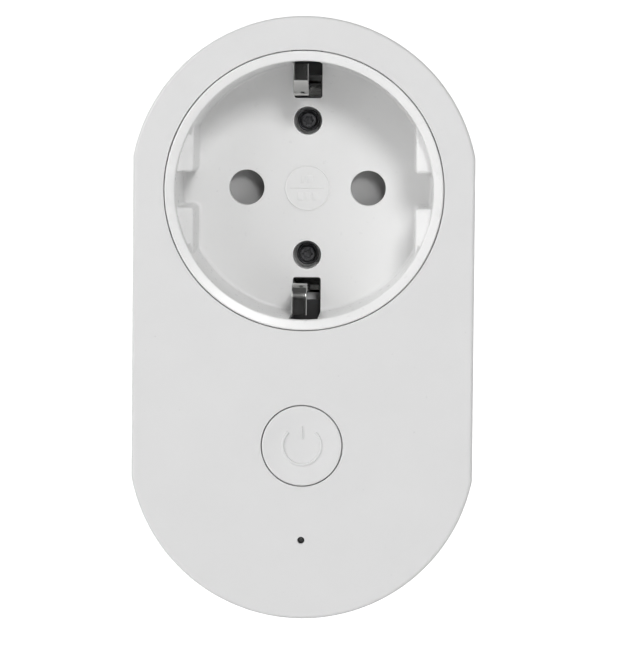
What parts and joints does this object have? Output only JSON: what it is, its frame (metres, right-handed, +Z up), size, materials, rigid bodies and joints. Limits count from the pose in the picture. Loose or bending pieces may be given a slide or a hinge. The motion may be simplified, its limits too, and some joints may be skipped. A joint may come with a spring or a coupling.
{
  "type": "smart plug",
  "caption": "Slim smart plug: an earthed socket and a round power button in a white two-arc housing, with a round plug base and pins behind.",
  "frame": {"origin": "centre of the plug's engagement face, on the axis shared by the plug and the socket", "axes": "+X to the right seen from the front, +Y into the wall along the plug's pins, +Z up, from the button towards the socket"},
  "size_m": [0.0522, 0.062, 0.0922],
  "materials": {
    "housing_white": "fine matt texture",
    "button_white": "fine matt texture",
    "insert_white": "smooth gloss",
    "shutter_grey": "satin",
    "spring_steel": "plain",
    "black_plastic": "satin",
    "contact_brass": "plain",
    "plug_nickel": "nickel plated, satin",
    "earth_nickel": "nickel plated, bright",
    "screw_black": "blackened steel",
    "smoked_plastic": "smoked",
    "led_resin": "resin",
    "board_green": "solder mask",
    "relay_blue": "moulded",
    "coil_copper": "enamelled copper wire",
    "relay_iron": "zinc plated",
    "spring_copper": "copper alloy",
    "capacitor_sleeve": "shrink sleeve",
    "film_yellow": "epoxy case",
    "disc_blue": "epoxy dip"
  },
  "bodies": {
    "housing": {"front_cover": "housing_white", "rear_cover": "housing_white", "socket_insert": "insert_white", "shutter_spring": "spring_steel", "contact_carrier": "black_plastic", "line_contact": "contact_brass", "neutral_contact": "contact_brass", "line_pin": "plug_nickel", "neutral_pin": "plug_nickel", "line_pin_strap": "contact_brass", "neutral_pin_strap": "contact_brass", "earth_bridge": "earth_nickel", "plug_earth_strip_upper": "earth_nickel", "plug_earth_strip_lower": "earth_nickel", "insert_screw_upper": "screw_black", "insert_screw_lower": "screw_black", "switch_body": "black_plastic", "switch_cover": "spring_steel", "status_light_pipe": "smoked_plastic", "status_led": "led_resin", "circuit_board": "board_green", "relay_base": "black_plastic", "relay_cover": "relay_blue", "relay_bobbin": "black_plastic", "relay_coil": "coil_copper", "relay_core": "relay_iron", "relay_yoke": "relay_iron", "relay_fixed_contact": "spring_copper", "input_capacitor": "capacitor_sleeve", "output_capacitor": "capacitor_sleeve", "power_inductor": "coil_copper", "safety_capacitor": "film_yellow", "varistor": "disc_blue", "fuse_resistor": "disc_blue", "converter_chip": "black_plastic", "wireless_module": "board_green", "wireless_shield": "plug_nickel"},
    "button": {"power_button": "button_white"},
    "plunger": {"switch_plunger": "black_plastic"},
    "shutter": {"shutter_slider": "shutter_grey"},
    "armature": {"relay_armature": "relay_iron", "relay_contact_spring": "spring_copper"},
    "clip_upper": {"earth_clip_upper": "earth_nickel"},
    "clip_lower": {"earth_clip_lower": "earth_nickel"}
  },
  "joints": [
    {"name": "button_press", "type": "slide", "parent": "housing", "child": "button", "axis": [0, 1, 0], "range_m": [0, 0.0005], "stiffness_N_per_m": 2000, "springref_m": -0.0003},
    {"name": "switch_press", "type": "slide", "parent": "housing", "child": "plunger", "axis": [0, 1, 0], "range_m": [0, 0.0005]},
    {"name": "shutter_slide", "type": "slide", "parent": "housing", "child": "shutter", "axis": [-1, 0, 0], "range_m": [0, 0.0059], "stiffness_N_per_m": 100, "springref_m": -0.002, "deforming": ["shutter_spring"]},
    {"name": "armature_tilt", "type": "hinge", "parent": "housing", "child": "armature", "pos_m": [-0.01485, -0.0261, -0.03125], "axis": [1, 0, 0], "range_deg": [0, 5], "stiffness_Nm_per_rad": 0.02, "springref_deg": -2.86},
    {"name": "clip_upper_flex", "type": "hinge", "parent": "housing", "child": "clip_upper", "pos_m": [-0.00077, -0.0191, 0.0159], "axis": [-1, 0, 0], "range_deg": [0, 13], "stiffness_Nm_per_rad": 0.5, "springref_deg": -5.73},
    {"name": "clip_lower_flex", "type": "hinge", "parent": "housing", "child": "clip_lower", "pos_m": [-0.00077, -0.0191, -0.0159], "axis": [1, 0, 0], "range_deg": [0, 13], "stiffness_Nm_per_rad": 0.5, "springref_deg": -5.73}
  ],
  "couplings": [
    {"joint": "switch_press", "follows": "button_press", "ratio": 1}
  ]
}
